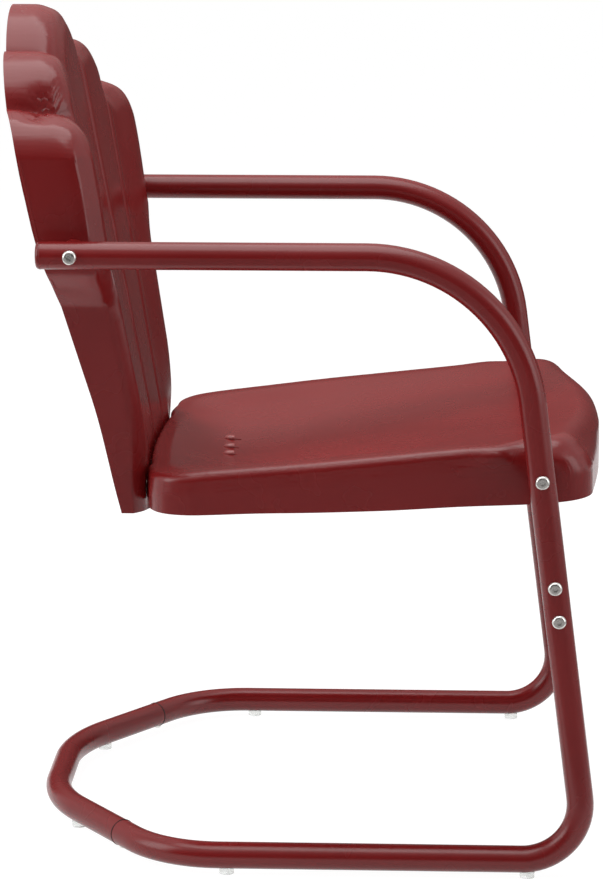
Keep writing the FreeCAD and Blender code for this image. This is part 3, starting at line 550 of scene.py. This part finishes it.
crowns = lay_crowns()
crown_outline = as_outline(crowns)
print("outline of", len(crowns), "points, length", round(float(crown_outline[2].sum()), 3), "m")

# %% [markdown]
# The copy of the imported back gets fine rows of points. Then each point near the outline moves from the
# tight bend to the wide roll, by its place along the bend's own section, which keeps the sheet's
# thickness.

# %% Helpers for soft changes
def ramp(value, low, high):
    """Smooth step from 0 to 1."""
    part = np.clip((value - low) / (high - low), 0.0, 1.0)
    return part * part * (3.0 - 2.0 * part)


def bump(x, z, centre, widths, turn=0.0):
    """Soft round hill with a height of one."""
    across, along = x - centre[0], z - centre[1]
    cosine, sine = math.cos(turn), math.sin(turn)
    first = (across * cosine + along * sine) / widths[0]
    second = (along * cosine - across * sine) / widths[1]
    return np.exp(-(first ** 2 + second ** 2) / 2.0)


print("half way up a ramp", float(ramp(0.5, 0.0, 1.0)))

# %% Helper that measures from an outline
BATCH = 4000
CLOSE = 0.0015


def nearest_outline(points, outline):
    """Distance to an outline and the inward direction there, for points in a flat view."""
    starts, steps, lengths = outline
    distance = np.empty(len(points))
    inward = np.empty((len(points), 2))
    for begin in range(0, len(points), BATCH):
        part = points[begin:begin + BATCH]
        offset = part[:, None, :] - starts[None]
        along = np.clip((offset * steps[None]).sum(2) / lengths ** 2, 0.0, 1.0)
        away = offset - along[..., None] * steps[None]
        reach = np.hypot(away[..., 0], away[..., 1])
        best = reach.argmin(1)
        pick = np.arange(len(part))
        closest = reach[pick, best]
        distance[begin:begin + BATCH] = closest
        square = np.stack((-steps[best, 1], steps[best, 0]), 1) / lengths[best, None]
        straight = away[pick, best] / np.maximum(closest, 1e-9)[:, None]
        inward[begin:begin + BATCH] = np.where(closest[:, None] > CLOSE, straight, square)
    return distance, inward


crown_centre = np.array([LOBES[0][:2]])
inside_by = float(nearest_outline(crown_centre, crown_outline)[0][0])
print("centre of the middle crown lies", round(inside_by, 4), "m inside the outline")

# %% Helper that opens or closes a bend
def change_bend(inset, depth, old, new):
    """Move points of a rounded edge from one bend radius to another, along the bend's own section."""
    reach = np.maximum(old, new)
    in_bend = (inset < old) & (depth < old)
    on_face = inset >= old
    below = np.where(in_bend, old - np.hypot(old - inset, old - depth), np.where(on_face, depth, inset))
    turn = np.arctan2(old - inset, old - depth)
    quarter = math.pi / 2
    place = np.where(in_bend, reach - old + old * turn,
                     np.where(on_face, reach - inset, reach - old + old * quarter + depth - old))
    place = place * (2.0 * (reach - new) + new * quarter) / (2.0 * (reach - old) + old * quarter)
    swing = np.clip((place - reach + new) / new, 0.0, quarter)
    before = np.maximum(reach - new - place, 0.0)
    beyond = np.maximum(place - (reach - new) - new * quarter, 0.0)
    new_inset = new - (new - below) * np.sin(swing) + before
    new_depth = new - (new - below) * np.cos(swing) + beyond
    near = (inset < reach) & (depth < reach)
    return near, np.where(near, new_inset, inset), np.where(near, new_depth, depth)


face_point = change_bend(np.array([0.1]), np.array([0.0]), 0.015, 0.019)
print("a point on the flat face keeps its inset of", float(face_point[1][0]), "m")

# %% [markdown]
# Three moves shape the back. The first opens its tight bend to the wide roll. The second carries the
# outer petals forward and stands the foot of each side upright, as the photograph shows. The third adds
# the marks of the press. A ramp's last two values are the places, in metres, where a change starts and
# where it is complete.

# %% The moves of the back
CROWN_BEND, CROWN_ROLL = 0.015, 0.019
FOOT_LEVEL, FOOT_EASE, FOOT_SHARE, FOOT_SLACK = 0.412, 0.012, 0.440, 0.0005
WRAP_LOW, WRAP_HIGH, RIM_BACK = 0.0065, 0.0035, 0.0028


def roll_crowns(points):
    """Open the tight bend along the back's outline into a wide roll."""
    x, y, z = points.T
    inset, inward = nearest_outline(points[:, [0, 2]], crown_outline)
    spread = 0.006 + 0.010 * ramp(np.abs(x), 0.130, 0.170)
    middle_crown = 0.004 * ramp(z, 0.74, 0.80) * (1.0 - ramp(np.abs(x), 0.03, 0.12))
    wide = CROWN_ROLL + ramp(z, 0.55, 0.63) * spread + middle_crown
    near, new_inset, new_depth = change_bend(inset, y - face_depth(x, z), CROWN_BEND, wide)
    x = x + inward[:, 0] * (new_inset - inset)
    z = z + inward[:, 1] * (new_inset - inset)
    y = np.where(near, face_depth(x, z) + new_depth, y)
    return np.stack((x, y, z), 1)


def upright_foot(z):
    """How far a leaning sheet moves back to stand upright near its foot."""
    drop = FOOT_LEVEL - z + np.hypot(FOOT_LEVEL - z, FOOT_EASE)
    return FACE_LEAN * np.maximum(0.0, FOOT_SHARE * drop - FOOT_SLACK)


def carry_sides_forward(points):
    """Wrap the outer petals further forward, and stand the foot of each side upright."""
    x, y, z = points.T
    side = np.abs(x)
    crease = crease_at(*OUTER_CREASE, z)
    wrap = WRAP_LOW * ramp(z, 0.36, 0.47) + WRAP_HIGH * ramp(z, 0.60, 0.70)
    wrap = wrap * (1.0 - ramp(z, 0.735, 0.775))
    depth = y - face_depth(x, z)
    y = y - wrap * ramp(side, crease + 0.006, crease + 0.060) * (1.0 - ramp(depth, 0.020, 0.090))
    y = y + RIM_BACK * ramp(z, 0.42, 0.50) * (1.0 - ramp(z, 0.62, 0.68)) * ramp(depth, 0.040, 0.090)
    y = y + upright_foot(z) * ramp(side, 0.118, 0.144) * (1.0 - ramp(depth, 0.004, 0.045))
    return np.stack((x, y, z), 1)


def press_marks(points):
    """Add wrinkles where the sheet gathers between two crowns, and soft dents in the sides."""
    x, y, z = points.T
    side = np.abs(x)
    on_side = ramp(side, 0.120, 0.150)
    gather = bump(y, z, (0.253, 0.7665), (0.0100, 0.0090))
    folds = np.sin((y - 0.236) * 900.0 + (z - 0.764) * 500.0)
    valley = bump(y, z, (0.250, 0.7560), (0.030, 0.0045), 0.12)
    sink = on_side * (0.0055 * gather + 0.0018 * gather * folds + 0.0026 * valley)
    waist = ramp(side, 0.150, 0.175) * bump(y, z, (0.221, 0.588), (0.030, 0.0055), 0.10)
    flank = 0.0010 * ramp(side, 0.150, 0.170) * bump(y, z, (0.196, 0.500), (0.016, 0.060), 0.2)
    sink_side = 0.0022 * waist + flank
    z = z - sink
    x = x - np.sign(x) * (0.6 * sink + sink_side)
    return np.stack((x, y, z), 1)


print("foot of a side moves back", round(float(upright_foot(FACE_FOOT)) * 1000, 1), "mm at its lowest")

# %% Make the back
def reshape(piece, *moves):
    """Send every point of a piece through some moves."""
    flat = np.empty(len(piece.data.vertices) * 3)
    piece.data.vertices.foreach_get("co", flat)
    points = flat.reshape(-1, 3)
    for move in moves:
        points = move(points)
    piece.data.vertices.foreach_set("co", points.ravel())
    piece.data.update()


def make_back():
    """Pressed back with its wide rolled edges."""
    piece = merged_copy("back_shell", "pressed_back")
    slice_across(piece, ALONG_Z, rows(0.350, 0.846, 84))
    slice_across(piece, ALONG_X, rows(-0.231, 0.231, 66))
    slice_across(piece, Vector((0.0, 1.0, -FACE_LEAN)).normalized(), rows(0.060, 0.190, 34))
    reshape(piece, roll_crowns, carry_sides_forward, press_marks)
    smooth(piece, 40.0)
    dress(piece, paint)
    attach(piece, "upper")
    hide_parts("back_shell")
    return piece


back = make_back()
print(back.name, len(back.data.vertices), "points")

# %% [markdown]
# A hem runs along the rear rim of the back, from waist to waist over the crowns. It is a line laid through
# the same moves as the sheet and given a round section, and it catches the light behind every crown.

# %% Make the hem
HEM_RADIUS, HEM_INSET, HEM_START = 0.0019, 0.0021, 0.550
RIM = ((0.310, 0.0259), (0.566, 0.0980), (0.606, 0.1130), (0.851, 0.1490))
RIM_BOW, RIM_WAIST, RIM_RISE = 0.0105, 0.606, 0.245


def rim_depth(z):
    """Depth of the rear rim behind the face's bow, with its bulge behind the crowns."""
    heights, depths = zip(*RIM)
    part = np.clip((z - RIM_WAIST) / RIM_RISE, 0.0, 1.0)
    return np.interp(z, heights, depths) + RIM_BOW * 4.0 * part * (1.0 - part)


def make_hem(name, line, radius):
    """Closed tube through a row of points."""
    curve = bpy.data.curves.new(name, "CURVE")
    curve.dimensions = "3D"
    curve.bevel_depth = radius
    curve.bevel_resolution = 3
    curve.use_fill_caps = True
    spline = curve.splines.new("POLY")
    spline.points.add(len(line) - 1)
    for point, place in zip(spline.points, line):
        point.co = (*place, 1.0)
    piece = bpy.data.objects.new(name, curve)
    bpy.context.scene.collection.objects.link(piece)
    alone(piece)
    bpy.ops.object.convert(target="MESH")
    return bpy.context.object


def lay_hem():
    """Points along the rear rim, from the waist over the crowns to the other waist."""
    front = np.array([point for point in crowns if point[1] > HEM_START])
    inward = nearest_outline(front, crown_outline)[1]
    x, z = (front + inward * HEM_INSET).T
    y = FACE_FRONT - FACE_BOW + np.sqrt((FACE_BOW + rim_depth(z)) ** 2 - x ** 2) - HEM_INSET
    return press_marks(carry_sides_forward(np.stack((x, y, z), 1)))


hem = make_hem("back_rim_hem", lay_hem(), HEM_RADIUS)
smooth(hem)
dress(hem, paint)
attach(hem, "upper")
print(hem.name, len(hem.data.vertices), "points")

# %% [markdown]
# ## The seat
#
# The seat is one pressing with a rolled edge and a skirt. Its sides and its rear are bent more tightly
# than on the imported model, and its front more widely. Its rear is narrower and fits the back, its front
# corners stand further back, its skirt hangs a little lower, and the dish inside its rim is a deeper
# bowl. The same way of changing a bend works here in plan view, so the plan's outline is laid down first.

# %% Lay down the seat's plan
SEAT_HALF, SEAT_FRONT, SEAT_REAR = 0.234, -0.311, 0.160
FRONT_BOW, REAR_BOW, FRONT_CORNER = 1.5, 1.15, 0.048
REAR_LEVEL, REAR_CORNER, CLOSE_CORNER = 0.397, 0.062, 0.044
CORNER_STEPS, BOW_STEPS = 12, 20


def lay_seat():
    """Plan outline of the seat at the height of its rear rim, with the sheet on its left."""
    half = []
    ends = ((SEAT_FRONT + FRONT_BOW, FRONT_BOW, FRONT_CORNER, -1),
            (SEAT_REAR - REAR_BOW, REAR_BOW, REAR_CORNER, 1))
    for centre, bow, bend, sign in ends:
        corner_x = SEAT_HALF - bend
        corner_y = centre + sign * math.sqrt((bow - bend) ** 2 - corner_x ** 2)
        swing = math.atan2(abs(corner_y - centre), corner_x)
        arc = []
        for step in range(CORNER_STEPS + 1):
            turn = swing * step / CORNER_STEPS
            arc.append((corner_x + bend * math.cos(turn), corner_y + sign * bend * math.sin(turn)))
        for step in range(1, BOW_STEPS + 1):
            turn = swing + (math.pi / 2 - swing) * step / BOW_STEPS
            arc.append((bow * math.cos(turn), centre + sign * bow * math.sin(turn)))
        half += list(reversed(arc)) if sign < 0 else arc
    return half + [(-x, y) for x, y in reversed(half)], (SEAT_HALF - REAR_CORNER, corner_y)


seat_line, rear_corner = lay_seat()
seat_outline = as_outline(seat_line)
print("seat plan of", len(seat_line), "points, round", round(float(seat_outline[2].sum()), 3), "m")

# %% The moves of the seat's edge
SEAT_LEVEL, SEAT_TILT = 0.413, math.radians(6.2)
DISH_DEPTH, DISH_HALF = 0.0046, 0.235
SEAT_BEND, SIDE_BEND, REAR_TIGHTER, FRONT_WIDER = 0.020, 0.010, 0.003, 0.014
REAR_SHIFT = 0.0016


def seat_top(x, y):
    """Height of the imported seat's dished surface."""
    return SEAT_LEVEL - math.tan(SEAT_TILT) * y - DISH_DEPTH * (1.0 - (x / DISH_HALF) ** 2)


def rear_lean(y, z):
    """How far the seat's rear wall leans back with the back that it carries."""
    return FACE_LEAN * (z - REAR_LEVEL) * ramp(y, 0.03, 0.11)


def shape_seat(points):
    """Tighten the bend along the sides and the rear, and open it a little along the front."""
    x, y, z = points.T
    lean = rear_lean(y, z)
    y = y - lean
    inset, inward = nearest_outline(np.stack((x, y), 1), seat_outline)
    new = SIDE_BEND - REAR_TIGHTER * ramp(y, 0.105, 0.135) + FRONT_WIDER * (1.0 - ramp(y, -0.265, -0.17))
    near, new_inset, new_depth = change_bend(inset, seat_top(x, y) - z, SEAT_BEND, new)
    x = x + inward[:, 0] * (new_inset - inset)
    y = y + inward[:, 1] * (new_inset - inset)
    z = np.where(near, seat_top(x, y) - new_depth, z)
    return np.stack((x, y + lean, z), 1)


def square_corner(points):
    """Push the two rear corners further out."""
    x, y, z = points.T
    lean = rear_lean(y, z)
    across, along = np.abs(x) - rear_corner[0], y - lean - rear_corner[1]
    inside = (across > 0.0) & (along > 0.0)
    across, along = np.maximum(across, 1e-6), np.maximum(along, 1e-6)
    reach = np.hypot(across, along)
    cosine, sine = across / reach, along / reach
    gap = REAR_CORNER - CLOSE_CORNER
    under_root = CLOSE_CORNER ** 2 - gap ** 2 * (cosine - sine) ** 2
    arc = gap * (cosine + sine) + np.sqrt(np.maximum(under_root, 0.0))
    on_arc = (arc * cosine > gap) & (arc * sine > gap)
    limit = np.where(on_arc, arc, REAR_CORNER / np.maximum(cosine, sine))
    stretch = 1.0 + (limit / REAR_CORNER - 1.0) * np.minimum(reach / REAR_CORNER, 1.0) ** 2
    stretch = np.where(inside, stretch, 1.0)
    x = np.where(inside, np.sign(x) * (rear_corner[0] + across * stretch), x)
    y = np.where(inside, lean + rear_corner[1] + along * stretch, y)
    y = y + REAR_SHIFT * ramp(y, 0.06, 0.14)
    return np.stack((x, y, z), 1)


print("seat rim", round(float(seat_top(DISH_HALF, 0.0)) * 1000), "mm above the floor half way along")

# %% The moves of the seat's walls and dish
SIDE_DRAW, REAR_DRAW = 0.008, 0.011
BOLT_FRONT, BOLT_BELOW, BOLT_REACH = 0.200, 0.006, 0.022
BOWL_DEPTH, BOWL_HALF = 0.0205, 0.212


def narrow_rear(points):
    """Draw the side walls in, most of all towards the rear, and let the skirt hang a little lower."""
    x, y, z = points.T
    below = seat_top(x, y) - z
    at_bolt = np.exp(-((y + BOLT_FRONT) ** 2 + (below - BOLT_BELOW) ** 2) / BOLT_REACH ** 2)
    draw = SIDE_DRAW * (1.0 - at_bolt) * ramp(y, -0.300, -0.240) + REAR_DRAW * ramp(y, -0.040, 0.120)
    drop = 0.0025 * ramp(y, -0.290, -0.220) + 0.0020 * ramp(y, -0.18, -0.08) + 0.0020 * ramp(y, 0.02, 0.12)
    set_back = 0.003 + 0.010 * (1.0 - ramp(below, 0.012, 0.036))
    y = y + set_back * ramp(np.abs(x), 0.030, 0.190) * (1.0 - ramp(y, -0.290, -0.180))
    y = y + upright_foot(z) * ramp(np.abs(x), 0.118, 0.144) * ramp(y, 0.090, 0.130)
    x = x - np.sign(x) * draw * ramp(np.abs(x), 0.140, 0.212)
    return np.stack((x, y, z - drop * ramp(below, 0.014, 0.040)), 1)


def bowl(x, y):
    """Extra depth of the seat's dish inside its rim."""
    across = np.clip(1.0 - (x / BOWL_HALF) ** 2, 0.0, 1.0)
    return BOWL_DEPTH * across ** 1.3 * (1.0 - ramp(y, 0.060, 0.150)) * np.clip((y + 0.29) / 0.30, 0.0, 1.0)


def sink_bowl(points):
    """Press the dish down, and leave the walls and the rim as they are."""
    x, y, z = points.T
    inset = nearest_outline(np.stack((x, y), 1), seat_outline)[0]
    return np.stack((x, y, z - bowl(x, y) * ramp(inset, 0.006, 0.040)), 1)


print("bowl", round(float(bowl(0.0, 0.01)) * 1000, 1), "mm deeper than the packed dish")

# %% Make the seat
def make_seat():
    """Pressed seat pan."""
    piece = merged_copy("seat_pan", "pressed_seat")
    slice_across(piece, ALONG_X, rows(-0.228, 0.228, 77))
    slice_across(piece, ALONG_Y, rows(-0.306, -0.220, 18) + rows(-0.2, 0.06, 14) + rows(0.070, 0.158, 30))
    slice_across(piece, ALONG_Z, rows(0.366, 0.436, 12))
    slice_across(piece, ALONG_X, rows(-0.2335, -0.205, 16) + rows(0.205, 0.2335, 16))
    slice_across(piece, (0.0, math.sin(SEAT_TILT), math.cos(SEAT_TILT)), rows(0.386, 0.4095, 18))
    reshape(piece, shape_seat, square_corner, sink_bowl, narrow_rear)
    smooth(piece, 40.0)
    dress(piece, paint)
    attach(piece, "upper")
    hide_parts("seat_pan")
    return piece


seat = make_seat()
print(seat.name, len(seat.data.vertices), "points")

# %% [markdown]
# ## Drain lips, seam lines and cap lines
#
# Each drain slot has a raised lip, open towards the front. A lip is half a ball, cut open with two planes
# and given the thickness of a thin sheet. The three stand slightly askew. Their coat is painted paler than
# the rest, a painted highlight in place of the bright glints on the real lips.

# %% Make the drain lips
LIP_PLACES, LIP_LINE, LIP_SKEW = (-0.037, 0.0, 0.037), 0.0795, 0.05
LIP_SIZE, LIP_SHEET = (0.0042, 0.0074, 0.0034), 0.0008
LIP_SUNK, LIP_OPEN = 0.0004, 0.0054

# Pale coat of the lips: a painted highlight for their glints.
lip_painted_highlight = make_paint("lip_painted_highlight", (0.40, 0.110, 0.105), (0.32, 0.080, 0.078), PAINT_ROUGH)


def make_lip(name, x, y):
    """Half shell over a drain slot, open towards the front."""
    bpy.ops.object.select_all(action="DESELECT")
    top = float(seat_top(x, y) - bowl(x, y))
    bpy.ops.mesh.primitive_uv_sphere_add(segments=32, ring_count=20, radius=1.0, location=(x, y, top))
    piece = bpy.context.object
    piece.name = piece.data.name = name
    piece.scale = LIP_SIZE
    piece.rotation_euler = (-SEAT_TILT, 0.0, 0.0)
    bpy.ops.object.transform_apply(location=True, rotation=True, scale=True)
    bpy.ops.object.mode_set(mode="EDIT")
    for place, normal in (((x, y, top - LIP_SUNK), ALONG_Z), ((x, y - LIP_OPEN, top), ALONG_Y)):
        bpy.ops.mesh.select_all(action="SELECT")
        bpy.ops.mesh.bisect(plane_co=place, plane_no=normal, clear_inner=True)
    bpy.ops.object.mode_set(mode="OBJECT")
    thick = piece.modifiers.new("sheet", "SOLIDIFY")
    thick.thickness = LIP_SHEET
    thick.offset = -1.0
    bpy.ops.object.modifier_apply(modifier=thick.name)
    smooth(piece, 50.0)
    dress(piece, lip_painted_highlight)
    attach(piece, "upper")
    return piece


lips = [make_lip("drain_lip_%d" % index, x, LIP_LINE + LIP_SKEW * x) for index, x in enumerate(LIP_PLACES)]
print("drain lips", len(lips))

# %% [markdown]
# The tubes of the base meet in narrow grooves, drawn in painted shade, and the end caps of the arms have a
# fine rolled edge.
# Both are thin rings laid round the tube, the first across the slanting rear of the base and the second
# square to the arm.

# %% Make the seam and cap lines
SEAM_PLACE, SEAM_AXIS = (0.19883, 0.17918, 0.0185), (0.7986, 0.6018)
SEAM_REACH, SEAM_WIDTH = 0.0133, 0.0007
ARM_ACROSS, ARM_HEIGHT, CAP_EDGE = 0.261, 0.6265, 0.0145
CAP_REACH, CAP_WIDTH = 0.01325, 0.0005


def make_ring(name, centre, axis, reach, width, material, body):
    """Thin ring round a tube."""
    bpy.ops.object.select_all(action="DESELECT")
    turn = Vector((0.0, 0.0, 1.0)).rotation_difference(Vector(axis)).to_euler()
    bpy.ops.mesh.primitive_torus_add(major_segments=64, minor_segments=10, major_radius=reach,
                                     minor_radius=width, location=centre, rotation=turn)
    piece = bpy.context.object
    piece.name = piece.data.name = name
    bpy.ops.object.transform_apply(location=True, rotation=True, scale=True)
    smooth(piece, 60.0)
    dress(piece, material)
    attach(piece, body)
    return piece


# Near-black coat of the seam rings: painted shade in the grooves between the tubes.
shade = make_paint("seam_shadow", (0.020, 0.0030, 0.0030), (0.012, 0.0020, 0.0020), 0.60)
cap_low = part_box("left_arm_end_cap")[0]
for side, sign in (("left", 1.0), ("right", -1.0)):
    seam_place = (sign * SEAM_PLACE[0], *SEAM_PLACE[1:])
    seam_axis = (sign * -SEAM_AXIS[0], SEAM_AXIS[1], 0.0)
    seam = make_ring(side + "_base_seam", seam_place, seam_axis, SEAM_REACH, SEAM_WIDTH, shade, "base")
    cap_place = (sign * ARM_ACROSS, cap_low.y + CAP_EDGE, ARM_HEIGHT)
    line = make_ring(side + "_cap_edge", cap_place, ALONG_Y, CAP_REACH, CAP_WIDTH, cap_plastic, "upper")
    print(seam.name, line.name)
